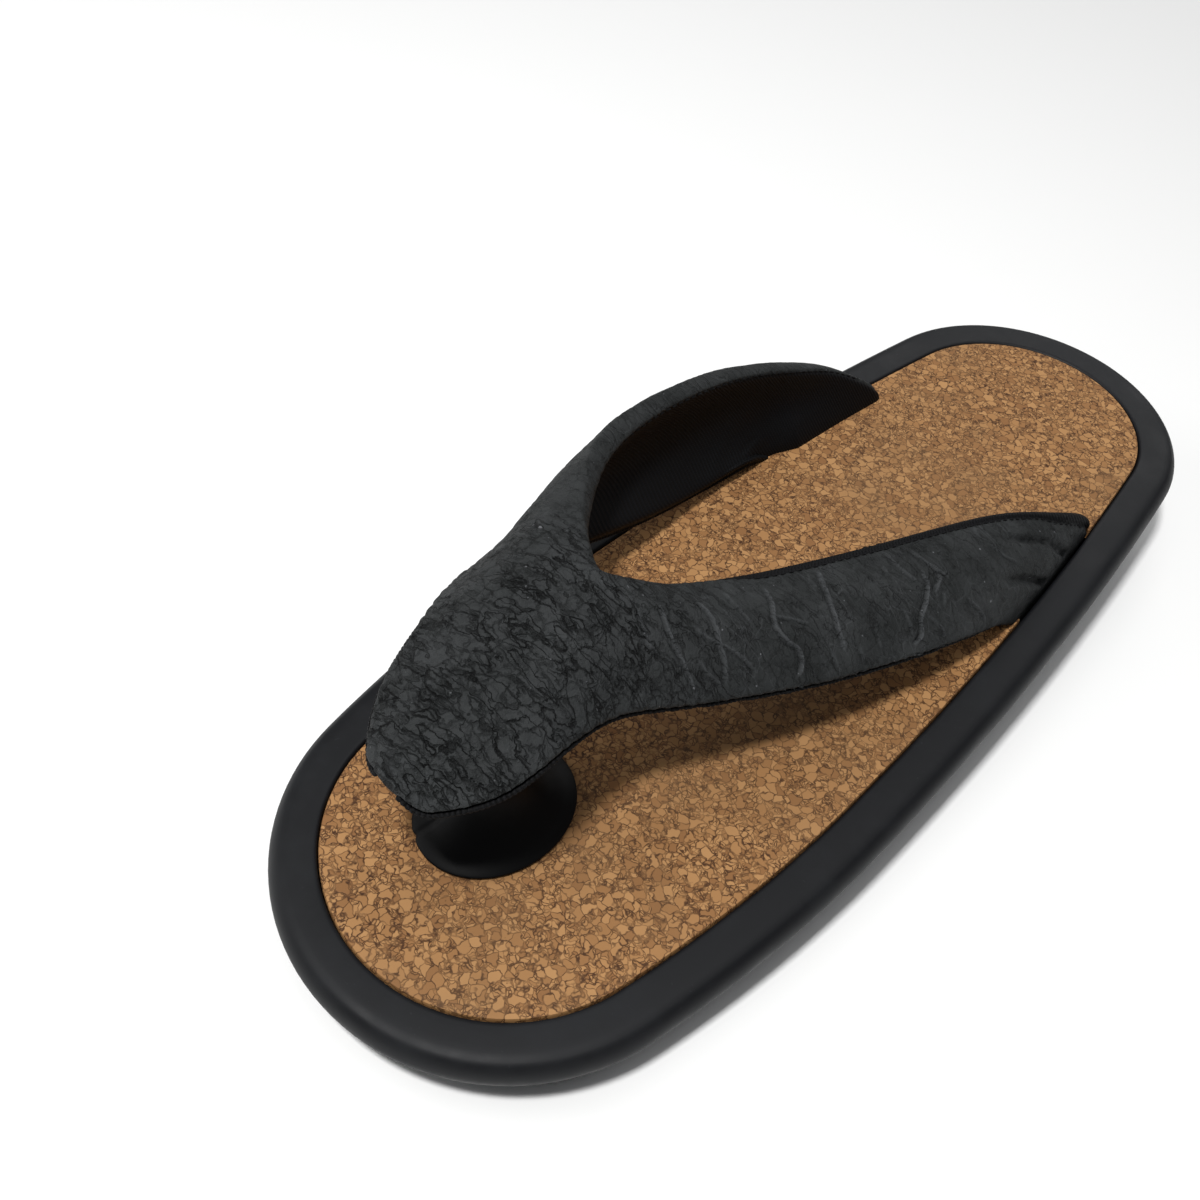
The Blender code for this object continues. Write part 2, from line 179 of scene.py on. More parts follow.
def sideRadius(widest, endRadius, endY):
    run = sole["ballY"] - endY
    return (widest ** 2 + run ** 2 - endRadius ** 2) / (2 * (widest - endRadius))


def halfWidth(y, offset=0.0):
    widest = sole["ballHalfWidth"] + offset
    toeY, heelY = endCentres(offset)
    if y > sole["ballY"]:
        radius = sideRadius(widest, sole["heelRadius"] + offset, heelY)
    else:
        radius = sideRadius(widest, sole["toeRadius"] + offset, toeY)
    return widest - radius + math.sqrt(radius ** 2 - (y - sole["ballY"]) ** 2)


def soleOutline(offset):
    # two round ends and four long side arcs, anticlockwise from the ball's outer side
    widest = sole["ballHalfWidth"] + offset
    toeR = sole["toeRadius"] + offset
    heelR = sole["heelRadius"] + offset
    toeY, heelY = endCentres(offset)
    front = sideRadius(widest, toeR, toeY)
    rear = sideRadius(widest, heelR, heelY)
    heelAngle = math.asin((heelY - sole["ballY"]) / (rear - heelR))
    toeAngle = math.asin((sole["ballY"] - toeY) / (front - toeR))
    ballY = sole["ballY"]
    arcs = (
        (widest - rear, ballY, rear, 0, heelAngle, sole["sideSteps"]),
        (0, heelY, heelR, heelAngle, math.pi - heelAngle, sole["arcSteps"]),
        (rear - widest, ballY, rear, math.pi - heelAngle, math.pi, sole["sideSteps"]),
        (front - widest, ballY, front, math.pi, math.pi + toeAngle, sole["sideSteps"]),
        (0, toeY, toeR, math.pi + toeAngle, 2 * math.pi - toeAngle, sole["arcSteps"]),
        (widest - front, ballY, front, -toeAngle, 0, sole["sideSteps"]),
    )
    points = []
    for centreX, centreY, radius, start, end, steps in arcs:
        for i in range(steps):
            angle = start + (end - start) * i / steps
            points.append((centreX + radius * math.cos(angle), centreY + radius * math.sin(angle)))
    return points


def curveThrough(rows, steps):
    # smooth curve through table rows
    rows = [np.array(row, float) for row in rows]
    made = []
    for i in range(len(rows) - 1):
        before = rows[max(i - 1, 0)]
        after = rows[min(i + 2, len(rows) - 1)]
        for s in range(steps):
            t = s / steps
            made.append(0.5 * (2 * rows[i] + (rows[i + 1] - before) * t
                               + (2 * before - 5 * rows[i] + 4 * rows[i + 1] - after) * t ** 2
                               + (3 * rows[i] - before - 3 * rows[i + 1] + after) * t ** 3))
    made.append(rows[-1])
    return made


def placed(name, data):
    # object for a mesh, light or camera, linked to the scene
    made = bpy.data.objects.new(name, data)
    bpy.context.scene.collection.objects.link(made)
    return made


def meshPiece(name, bm, material=None):
    mesh = bpy.data.meshes.new(name)
    bm.to_mesh(mesh)
    bm.free()
    if material:
        mesh.materials.append(material)
    return placed(name, mesh)


def smoothShade(piece):
    piece.data.shade_smooth()
    piece.data.set_sharp_from_angle(angle=sole["sharpAngle"])


def newPiece(name, bm, material=None):
    # smooth-shaded closed mesh with its faces outwards
    bmesh.ops.recalc_face_normals(bm, faces=bm.faces)
    if bm.calc_volume(signed=True) < 0:
        bmesh.ops.reverse_faces(bm, faces=bm.faces)
    made = meshPiece(name, bm, material)
    smoothShade(made)
    return made


def loftRings(rings):
    # closed skin through rings of equal length
    bm = bmesh.new()
    loops = [[bm.verts.new(point) for point in ring] for ring in rings]
    for low, high in zip(loops, loops[1:]):
        for i in range(len(low)):
            bm.faces.new((low[i - 1], low[i], high[i], high[i - 1]))
    bm.faces.new(loops[0])
    bm.faces.new(loops[-1])
    return bm


def bakeModifiers(piece):
    # replaces the mesh by its evaluated result and drops the modifiers
    bpy.context.view_layer.update()
    graph = bpy.context.evaluated_depsgraph_get()
    mesh = bpy.data.meshes.new_from_object(piece.evaluated_get(graph), preserve_all_data_layers=True,
                                           depsgraph=graph)
    piece.modifiers.clear()
    old = piece.data
    piece.data = mesh
    bpy.data.meshes.remove(old)
    return piece


# materials

# agglomerated cork: chips of 1 to 3 mm pressed in a block with finer crumb between, sliced and sanded; satin
corkLook = {
    "chip": 1.95, "crumb": 1.1, "crumbJoint": 1.5, "patch": 45.0, "chipShare": 0.5, "bend": 2.4,
    "joint": "#432710", "jointWidth": 0.18, "worn": "#7A5C3C", "wornShare": 0.4, "bump": 0.1,
    "tones": ((0.05, "#875E37"), (0.35, "#9B7044"), (0.9, "#AE8253")),
}


def corkMaterial():
    made, tree, shader = newMaterial("agglomeratedCork", 0.72, 0.3)
    place = millimetres(tree)
    bent = shifted(tree, place, randomShift(tree, place, 0.55, 1.5), corkLook["bend"])
    sizes = (corkLook["chip"], corkLook["crumb"])
    chips, crumbs = (cells(tree, bent, size, "F1") for size in sizes)
    chipEdge, crumbEdge = (cells(tree, bent, size, "DISTANCE_TO_EDGE") for size in sizes)
    chipTone, crumbTone = (addNode(tree, "ShaderNodeSeparateColor", {"Color": found["Color"]}).outputs
                           for found in (chips, crumbs))
    # which cells are whole chips; the rest are made of crumb
    whole = calc(tree, "GREATER_THAN", chipTone["Blue"], 1 - corkLook["chipShare"])
    tone = blendValues(tree, whole, crumbTone["Green"], chipTone["Red"])
    # distances to the joints in millimetres; round crumb the joint is drawn finer
    crumbBorder = calc(tree, "MULTIPLY", crumbEdge["Distance"], corkLook["crumb"] * corkLook["crumbJoint"])
    chipBorder = calc(tree, "MULTIPLY", chipEdge["Distance"], corkLook["chip"])
    reach = blendValues(tree, whole, calc(tree, "MINIMUM", crumbBorder, chipBorder), chipBorder)
    stops = [(share, fromHex(code)) for share, code in corkLook["tones"]]
    colour = addNode(tree, "ShaderNodeValToRGB", {"Fac": tone}, stops=stops).outputs["Color"]
    depth = ranged(tree, noiseField(tree, place, 0.7, 1.0), 0.3, 0.6, 0.4)
    line = ranged(tree, reach, 0.04, corkLook["jointWidth"], 1.0, 0.0)
    colour = blend(tree, calc(tree, "MULTIPLY", line, depth), colour, fromHex(corkLook["joint"]))
    patches = noiseField(tree, place, 1 / corkLook["patch"], 3.0, 0.6)
    wear = ranged(tree, patches, 0.5, 0.72, 0.0, corkLook["wornShare"])
    colour = blend(tree, wear, colour, fromHex(corkLook["worn"]))
    dress(tree, shader, colour, ranged(tree, reach, 0.0, 0.2), 0.4, corkLook["bump"] * mm)
    return made


# moulded rubber: satin blue-black with a fine moulded grain, dust and grey scuffs
rimLook = {"base": "#0E0F12", "scuff": "#26282B", "grain": 0.35, "roughness": 0.5, "scuffShare": 0.3,
           "specular": 0.25}
soleLook = {"base": "#141517", "scuff": "#2F3032", "grain": 0.5, "roughness": 0.68, "scuffShare": 0.5,
            "specular": 0.25}
postLook = {"base": "#040405", "scuff": "#0C0D0E", "grain": 0.3, "roughness": 0.48, "scuffShare": 0.2,
            "specular": 0.15}


def rubberMaterial(name, look):
    made, tree, shader = newMaterial(name, look["roughness"], look["specular"])
    place = millimetres(tree)
    clouds = noiseField(tree, place, 0.05, 6.0, 0.65)
    scuffs = ranged(tree, clouds, 0.5, 0.75, 0.0, look["scuffShare"])
    dust = ranged(tree, noiseField(tree, place, 1.1, 2.0), 0.70, 0.78, 0.0, 0.4)
    share = calc(tree, "ADD", scuffs, dust, clamp=True)
    colour = blend(tree, share, fromHex(look["base"]), fromHex(look["scuff"]))
    shine = ranged(tree, clouds, 0.3, 0.7, look["roughness"] - 0.05, look["roughness"] + 0.12)
    tree.links.new(shine, shader.inputs["Roughness"])
    dress(tree, shader, colour, noiseField(tree, place, 1 / look["grain"], 2.0), 0.12, 0.08 * mm)
    return made


# plant-fibre sheet, like crumpled paper pressed flat: matt charcoal, with painted shade in the sharp folds
# and painted highlights on the swellings and crease ridges
coverLook = {
    # the edge tone serves the random cloudy tint and the painted highlight on the swellings; the pale scratch
    # tone also paints the highlight on the crease ridges
    "base": "#1D1F1F", "fold": "#0E0F0F", "edge": "#484A4B", "rubbed": "#4C4E50", "fleck": "#85868A",
    "plate": 4.6, "smallPlate": 2.2, "longFold": 4.6, "shortFold": 2.3, "scratch": 2.6, "scratchTurn": 0.58,
    "bend": 5.0, "foldBend": 2.2, "crossways": (0.34, 1.0, 0.6), "scratchways": (0.2, 1.0, 0.6),
    "tint": 0.28, "swellHighlight": 0.24, "scratchShare": 0.35, "fleckShare": 0.6, "bump": 0.8,
}
# twill lining: fine diagonal yarns, blue-black, drawn a little coarser than real so that it shows
liningLook = {"base": "#020203", "yarn": "#08090C", "pitch": 0.5, "bump": 0.15}
wavesPerUnit = 20 / (2 * math.pi)


def foldLines(tree, place, spacing, width):
    # 0 on a wandering fold and 1 beyond its width
    field = noiseField(tree, place, 1 / spacing, 2.0, 0.55, 0.4)
    return ranged(tree, calc(tree, "ABSOLUTE", calc(tree, "SUBTRACT", field, 0.5)), 0.0, width)


def plateEdges(tree, place, size, width):
    # 0 in the valley between two pressed plates and 1 beyond its width
    return ranged(tree, cells(tree, place, size, "DISTANCE_TO_EDGE")["Distance"], 0.0, width)


def coverMaterial():
    made, tree, shader = newMaterial("crumpledFibreSheet", 0.66, 0.16)
    tones = {key: fromHex(coverLook[key]) for key in ("base", "fold", "edge", "rubbed", "fleck")}
    place = millimetres(tree)
    shift = randomShift(tree, place, 0.3, 4.0, 0.6)
    bent = shifted(tree, place, shift, coverLook["bend"])
    plates = plateEdges(tree, bent, coverLook["plate"], 0.09)
    smallPlates = plateEdges(tree, bent, coverLook["smallPlate"], 0.14)
    crossways = shifted(tree, millimetres(tree, stretch=coverLook["crossways"]), shift, coverLook["foldBend"])
    longFolds = foldLines(tree, crossways, coverLook["longFold"], 0.02)
    shortFolds = foldLines(tree, crossways, coverLook["shortFold"], 0.035)
    strength = attributeOf(tree, "crumple")
    # the folds come and go in patches
    patches = ranged(tree, noiseField(tree, place, 0.24, 2.0), 0.4, 0.58, 0.45)
    relief = calc(tree, "MULTIPLY", plates, 0.3)
    for part, weight in ((smallPlates, 0.15), (longFolds, 0.9), (shortFolds, 0.5)):
        relief = calc(tree, "MULTIPLY_ADD", blendValues(tree, patches, 1.0, part), weight, relief)
    pressed = calc(tree, "MULTIPLY", relief, strength)
    pressed = calc(tree, "MULTIPLY_ADD", noiseField(tree, place, 1.4, 4.0, 0.7), 0.35, pressed)
    # painted shade darkens the folds, a random cloudy tint lies between them, and a painted highlight makes
    # the swellings a little paler
    paintedFoldShade = calc(tree, "SUBTRACT", ranged(tree, relief, 0.75, 1.7), 1.0)
    unshadedShare = calc(tree, "MULTIPLY_ADD", paintedFoldShade, strength, 1.0, clamp=True)
    clouds = ranged(tree, noiseField(tree, place, 0.1, 5.0), 0.35, 0.7, 0.0, coverLook["tint"])
    plain = blend(tree, clouds, tones["base"], tones["edge"])
    swellHighlight = calc(tree, "MULTIPLY", ranged(tree, relief, 1.5, 1.85, 0.0, coverLook["swellHighlight"]), strength)
    plain = blend(tree, swellHighlight, plain, tones["edge"])
    colour = blend(tree, unshadedShare, tones["fold"], plain)
    # painted highlight: the crease ridges are drawn in the pale scratch tone
    colour = blend(tree, attributeOf(tree, "rubbed"), colour, tones["rubbed"])
    # fine pale scratches across the straps, in patches, and rare light flecks
    slanted = millimetres(tree, (0, 0, coverLook["scratchTurn"]), coverLook["scratchways"])
    marks = calc(tree, "SUBTRACT", 1.0, plateEdges(tree, slanted, coverLook["scratch"], 0.035))
    spread = ranged(tree, noiseField(tree, place, 0.09, 2.0), 0.42, 0.6, 0.0, coverLook["scratchShare"])
    for share in (spread, ranged(tree, strength, 0.9, 0.5)):
        marks = calc(tree, "MULTIPLY", marks, share)
    colour = blend(tree, marks, colour, tones["rubbed"])
    flecks = ranged(tree, noiseField(tree, place, 0.75, 1.0), 0.76, 0.82, 0.0, coverLook["fleckShare"])
    colour = blend(tree, flecks, colour, tones["fleck"])
    # beyond the seam the lining's diagonal twill shows
    mask = ranged(tree, attributeOf(tree, "lining"), 0.48, 0.52)
    twill = addNode(tree, "ShaderNodeTexWave", {
        "Vector": place, "Scale": 1 / (wavesPerUnit * liningLook["pitch"]), "Distortion": 0.4, "Detail": 1.0,
    }, wave_type="BANDS", bands_direction="DIAGONAL").outputs["Fac"]
    cloth = blend(tree, twill, fromHex(liningLook["base"]), fromHex(liningLook["yarn"]))
    weave = calc(tree, "MULTIPLY", twill, liningLook["bump"])
    height = blendValues(tree, mask, pressed, weave)
    dress(tree, shader, blend(tree, mask, colour, cloth), height, 1.0, coverLook["bump"] * mm)
    return made


# polyester thread and cord: twisted yarn, nearly matt, black
threadLook = {"base": "#030303", "yarn": "#101012", "twist": 0.45, "bump": 0.1}


def threadMaterial():
    made, tree, shader = newMaterial("polyesterThread", 0.7, 0.15)
    twist = addNode(tree, "ShaderNodeTexWave", {"Vector": millimetres(tree), "Scale": threadLook["twist"],
                                                "Distortion": 1.0}, bands_direction="DIAGONAL").outputs["Fac"]
    colour = blend(tree, twist, fromHex(threadLook["base"]), fromHex(threadLook["yarn"]))
    dress(tree, shader, colour, twist, 0.5, threadLook["bump"] * mm)
    return made


cork = corkMaterial()
rimRubber = rubberMaterial("mouldedRimRubber", rimLook)
soleRubber = rubberMaterial("mattSoleRubber", soleLook)
postRubber = rubberMaterial("satinPostRubber", postLook)
cover = coverMaterial()
thread = threadMaterial()
print("stage: materials made")

# sole

strapEnds = {"front": 0.128, "rear": 0.283, "wall": 5.5, "buried": 5.2, "margin": 2.4, "outerRoom": 0.45}


def endCutter(side, offsets, heights, room):
    front = strapEnds["front"] * sole["footbedLength"] - strapEnds["wall"] / 2 - room
    rear = strapEnds["rear"] * sole["footbedLength"] + strapEnds["wall"] / 2 + room
    stations = [front + (rear - front) * i / 12 for i in range(13)]
    plan = [(side * halfWidth(y, offsets[0]), y) for y in stations]
    plan += [(side * halfWidth(y, offsets[1]), y) for y in reversed(stations)]
    return newPiece("endCutter", loftRings([[onDeck(x, y, h) for x, y in plan] for h in heights]))


def cutEnds(piece, offsets, heights, room):
    # cuts the places of both strap ends out of a piece
    cutters = [endCutter(side, offsets, heights, room) for side in (1, -1)]
    for cutter in cutters:
        hole = piece.modifiers.new("strapEnd", "BOOLEAN")
        hole.operation = "DIFFERENCE"
        hole.solver = "EXACT"
        hole.object = cutter
    bakeModifiers(piece)
    for cutter in cutters:
        bpy.data.objects.remove(cutter)
    smoothShade(piece)


def loftPiece(name, rows, material):
    # closed piece through rows of offset from the footbed's edge and height over the footbed
    rings = [[onDeck(x, y, h) for x, y in soleOutline(offset)] for offset, h in rows]
    return newPiece(name, loftRings(rings), material)


rim = {
    # offset from the footbed's edge and depth under it, from the tray's wall over the rounded rim
    "wall": ((0.3, -3.3), (0.3, -1.0), (0.32, -0.55), (0.5, -0.2), (0.9, -0.03), (1.4, 0.0)),
    "top": ((3.0, 0.0), (5.0, 0.0), (6.2, -0.02)),
    "round": ((6.9, -0.08), (8.3, -0.5), (9.45, -1.6), (10.1, -2.9), (10.3, -4.2), (10.05, -5.6),
              (9.5, -6.9), (9.0, -7.6)),
    "foot": ((8.75, -8.1), (8.3, -8.4)),
}
rows = list(rim["wall"]) + list(rim["top"]) + curveThrough(rim["round"], 3) + list(rim["foot"])
rimPiece = loftPiece("rimLayer", rows, rimRubber)
depth = sole["insole"] + sole["gap"]
cutEnds(rimPiece, (-strapEnds["wall"] - strapEnds["margin"], strapEnds["outerRoom"]),
        (-depth - strapEnds["buried"], -1.0), strapEnds["margin"])
# the cork plate's notches end inside the strap, so that the cork meets the strap all round
footbed = {"lip": 0.45, "notchIn": -3.4, "notchOut": 2.0, "notchEnds": 3.0}
lip = footbed["lip"]
corkRows = ((-lip, -3.0), (0.0, lip - 3.0), (0.0, -lip), (-lip * 0.4, -lip * 0.12), (-lip, 0.0), (-3.0, 0.0))
corkPiece = loftPiece("corkFootbed", corkRows, cork)
cutEnds(corkPiece, (footbed["notchIn"], footbed["notchOut"]), (-4.0, 2.0), -footbed["notchEnds"])
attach(corkPiece, "root")
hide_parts("insole")
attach(rimPiece, "root")
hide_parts("midsole")
print("stage: rim layer made")

outsole = {
    # how far inside the edge, and the share of the way down the wall
    "wall": ((0.9, 0.0), (0.35, 0.02), (0.05, 0.05), (0.0, 0.1), (0.0, 0.5), (0.0, 0.9), (0.2, 0.96),
             (0.9, 1.0)),
    # how far inside the edge, on the ground and in the recess of the tread
    "border": (3.0, 5.0), "recess": (5.4, 8.0, 14.0, 20.0, 30.0, 37.0), "tread": 1.3,
}


def groundHeight(y):
    start = -sole["footbedLength"] / 2 - sole["overhang"] + sole["toeSpringLength"]
    curl = max(0.0, (start - y) / sole["toeSpringLength"])
    return sole["toeSpring"] * curl ** sole["toeSpringPower"]


def outsoleRing(offset, share, lift=0.0):
    top = -sole["midsole"] - sole["gap"]
    ring = []
    for x, y in soleOutline(offset):
        high = onDeck(x, y, top)
        low = Vector((high.x, high.y, (groundHeight(high.y / mm) + lift) * mm))
        ring.append(high.lerp(low, share))
    return ring


edge = sole["overhang"]
rings = [outsoleRing(edge - inset, share) for inset, share in outsole["wall"]]
rings += [outsoleRing(edge - inset, 1.0) for inset in outsole["border"]]
rings += [outsoleRing(edge - inset, 1.0, outsole["tread"]) for inset in outsole["recess"]]
solePiece = newPiece("soleLayer", loftRings(rings), soleRubber)
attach(solePiece, "root")
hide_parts("outsole")
print("stage: sole layer made")

# strap

strap = {
    "wall": 5.5, "height": 40.0, "belly": 5.0, "rowsPerSection": 2, "across": 4, "spineRows": 4,
    # inner y, x, height; outer y, x, height; belly; crown, as shares of footbed length, half width, height
    "lateral": (
        (-0.434, -0.22, 0.79, -0.432, -0.06, 0.76, 0.0, 2.0),
        (-0.384, -0.23, 0.89, -0.395, 0.11, 0.81, 0.0, 2.0),
        (-0.312, -0.25, 0.96, -0.341, 0.11, 0.84, 0.1, 2.0),
        (-0.243, -0.31, 1.00, -0.287, 0.12, 0.80, 0.3, 1.6),
        (-0.204, -0.11, 0.89, -0.227, 0.28, 0.69, 0.5, 1.2),
        (-0.112, 0.08, 0.69, -0.135, 0.52, 0.55, 0.7, 1.0),
        (0.021, 0.34, 0.54, -0.054, 0.68, 0.44, 0.6, 1.0),
        (0.150, 0.56, 0.39, 0.027, 0.79, 0.31, 0.5, 1.0),
        (0.239, 0.77, 0.19, 0.090, 0.85, 0.18, 0.3, 1.0),
    ),
    "medial": (
        (-0.434, -0.22, 0.79, -0.430, -0.35, 0.76, 0.0, 2.0),
        (-0.384, -0.23, 0.89, -0.395, -0.53, 0.81, 0.0, 2.0),
        (-0.312, -0.25, 0.96, -0.343, -0.66, 0.84, 0.1, 2.0),
        (-0.243, -0.31, 1.00, -0.289, -0.81, 0.75, 0.5, 1.6),
        (-0.208, -0.61, 0.94, -0.222, -0.91, 0.61, 0.8, 1.2),
        (-0.116, -0.99, 0.87, -0.146, -0.91, 0.43, 1.0, 1.0),
        (0.004, -1.09, 0.75, -0.060, -0.91, 0.25, 1.0, 1.0),
        (0.120, -1.05, 0.55, 0.016, -0.925, 0.13, 0.8, 1.0),
        (0.220, -0.94, 0.28, 0.092, -0.90, 0.11, 0.5, 1.0),
    ),
}


def tableRow(rows, place):
    index = min(int(place), len(rows) - 2)
    t = place - index
    a, b = rows[max(index - 1, 0)], rows[index]
    c, d = rows[index + 1], rows[min(index + 2, len(rows) - 1)]
    return 0.5 * (2 * b + (c - a) * t + (2 * a - 5 * b + 4 * c - d) * t ** 2
                  + (3 * b - a - 3 * c + d) * t ** 3)


def scaledTable(name):
    units = (sole["footbedLength"], sole["ballHalfWidth"], strap["height"]) * 2 + (strap["belly"], 1.0)
    return [np.array(row) * np.array(units) for row in strap[name]]


def slotRow(side, height):
    rear = strapEnds["rear"] * sole["footbedLength"]
    front = strapEnds["front"] * sole["footbedLength"]
    points = []
    for step in range(strap["across"] + 1):
        y = rear + (front - rear) * step / strap["across"]
        points.append(Vector((side * (halfWidth(y) - strap["wall"] / 2 - sole["gap"]), y, height)))
    return points


def strapRows(name, side):
    # rows of points of one strap's middle surface, in footbed millimetres
    table = scaledTable(name)
    count = (len(table) - 1) * strap["rowsPerSection"]
    made = []
    for i in range(count + 1):
        place = i / strap["rowsPerSection"]
        row = tableRow(table, place)
        ahead = tableRow(table, min(place + 0.5, len(table) - 1))
        behind = tableRow(table, max(place - 0.5, 0))
        across = Vector((row[4] - row[1], row[3] - row[0], row[5] - row[2]))
        run = ahead - behind
        along = Vector((run[1] + run[4], run[0] + run[3], run[2] + run[5]))
        outwards = across.cross(along).normalized() * side
        points = []
        for step in range(strap["across"] + 1):
            t = step / strap["across"]
            high = row[5] + (row[2] - row[5]) * (1 - t ** row[7])
            point = Vector((row[1] + (row[4] - row[1]) * t, row[0] + (row[3] - row[0]) * t, high))
            points.append(point + outwards * row[6] * 4 * t * (1 - t))
        made.append(points)
    mouth = slotRow(side, 0.0)
    made.append([a.lerp(b, 0.55) for a, b in zip(made[-1], mouth)])
    made.append(mouth)
    made.append(slotRow(side, -strapEnds["buried"] + strap["wall"] / 2))
    return made


def rolledEdge(bm, width, layers):
    # widens the open sheet by the radius of its rolled edge
    edges = [e for e in bm.edges if e.is_boundary]
    directions = {}
    for vert in {v for e in edges for v in e.verts}:
        ends = [e.other_vert(vert).co for e in vert.link_edges if e.is_boundary]
        tangent = (ends[0] - ends[1]).normalized()
        inside = sum((f.calc_center_median() for f in vert.link_faces), Vector()) / len(vert.link_faces)
        away = vert.co - inside
        away = (away - tangent * away.dot(tangent)).normalized()
        directions[vert.co.copy().freeze()] = (away, [vert[layer] for layer in layers])
    extruded = bmesh.ops.extrude_edge_only(bm, edges=edges)["geom"]
    for vert in (item for item in extruded if isinstance(item, bmesh.types.BMVert)):
        away, values = directions[vert.co.copy().freeze()]
        for layer, value in zip(layers, values):
            vert[layer] = value
        vert.co += away * width


def middleSheet(name):
    # both straps as one open sheet, with row, across and side kept on its points
    bm = bmesh.new()
    layers = [bm.verts.layers.float.new(key) for key in ("row", "across", "side")]
    spine = []
    for tableName, side in (("lateral", 1), ("medial", -1)):
        grid = []
        for index, row in enumerate(strapRows(tableName, side)):
            verts = []
            for step, point in enumerate(row):
                if step == 0 and index < len(spine):
                    verts.append(spine[index])
                    continue
                vert = bm.verts.new(onDeck(*point))
                onSpine = step == 0 and index <= (strap["spineRows"] - 1) * strap["rowsPerSection"]
                for layer, value in zip(layers, (index / strap["rowsPerSection"], step / strap["across"],
                                                 0.0 if onSpine else side)):
                    vert[layer] = value
                verts.append(vert)
            grid.append(verts)
        if not spine:
            spine = [row[0] for row in grid[:(strap["spineRows"] - 1) * strap["rowsPerSection"] + 1]]
        for low, high in zip(grid, grid[1:]):
            for i in range(strap["across"]):
                bm.faces.new((low[i], low[i + 1], high[i + 1], high[i]))
    bmesh.ops.recalc_face_normals(bm, faces=bm.faces)
    bm.normal_update()
    rolledEdge(bm, strap["wall"] / 2 * mm, layers)
    bmesh.ops.recalc_face_normals(bm, faces=bm.faces)
    bm.normal_update()
    top = max(bm.faces, key=lambda f: f.calc_center_median().z)
    if top.normal.z < 0:
        bmesh.ops.reverse_faces(bm, faces=bm.faces)
    return meshPiece(name, bm)


def subdivided(piece, levels):
    soft = piece.modifiers.new("soft", "SUBSURF")
    soft.levels = levels
    soft.render_levels = levels
    return piece


detail = {"levels": 3, "fineFrom": -1.5, "hiddenRows": 0.6}
sheetPiece = bakeModifiers(subdivided(middleSheet("middleSheet"), detail["levels"]))
strapPiece = middleSheet("strapCover")
strapPiece.data.materials.append(cover)
wall = strapPiece.modifiers.new("wall", "SOLIDIFY")
wall.thickness = strap["wall"] * mm
wall.offset = 0.0
bakeModifiers(subdivided(strapPiece, detail["levels"]))
print("stage: strap form made,", len(strapPiece.data.polygons), "faces")


def readPoints(mesh):
    points = np.zeros(len(mesh.vertices) * 3)
    normals = np.zeros(len(mesh.vertices) * 3)
    mesh.vertices.foreach_get("co", points)
    mesh.vertex_normals.foreach_get("vector", normals)
    return points.reshape(-1, 3) / mm, normals.reshape(-1, 3)


def readLayer(mesh, name):
    values = np.zeros(len(mesh.vertices))
    mesh.attributes[name].data.foreach_get("value", values)
    return values


sheetPoints, sheetNormals = readPoints(sheetPiece.data)
sheetRow, sheetAcross, sheetSide = (readLayer(sheetPiece.data, key) for key in ("row", "across", "side"))
sheetTree = kdtree.KDTree(len(sheetPoints))
for i, point in enumerate(sheetPoints):
    sheetTree.insert(point, i)
sheetTree.balance()
counts = {}
for poly in sheetPiece.data.polygons:
    for key in poly.edge_keys:
        counts[key] = counts.get(key, 0) + 1
lastRow = sheetRow.max() - detail["hiddenRows"]
edgePoints = sorted({v for key, n in counts.items() if n == 1 for v in key if sheetRow[v] < lastRow})
edgeTree = kdtree.KDTree(len(edgePoints))
for v in edgePoints:
    edgeTree.insert(sheetPoints[v], v)
edgeTree.balance()
wallRadius = strap["wall"] / 2


def measureStrap(points):
    # for each point: row along the strap, share across, side, millimetres round the rolled edge and that
    # edge's share across; round the edge, 0 is its crest, more is outside and less is inside
    found = np.zeros((len(points), 5))
    for i, point in enumerate(points):
        near = sheetTree.find(point)[1]
        height = float(np.dot(point - sheetPoints[near], sheetNormals[near]))
        nearEdge, far = edgeTree.find(sheetPoints[near])[1:]
        lean = max(-1.0, min(1.0, height / (wallRadius * 0.96)))
        wrap = wallRadius * math.asin(lean) + math.copysign(far, height)
        found[i] = (sheetRow[near], sheetAcross[near], sheetSide[near], wrap, sheetAcross[nearEdge])
    return found.T


def refine(piece, chosen, rule):
    # splits the faces with all, or any, of their points chosen
    bm = bmesh.new()
    bm.from_mesh(piece.data)
    faces = [f for f in bm.faces if rule(chosen[v.index] for v in f.verts)]
    edges = sorted({e for f in faces for e in f.edges}, key=lambda e: e.index)
    bmesh.ops.subdivide_edges(bm, edges=edges, cuts=1, use_grid_fill=True)
    bm.to_mesh(piece.data)
    bm.free()


refine(strapPiece, measureStrap(readPoints(strapPiece.data)[0])[3] > detail["fineFrom"], all)
points, normals = readPoints(strapPiece.data)
row, across, side, wrap, edgeAcross = measureStrap(points)

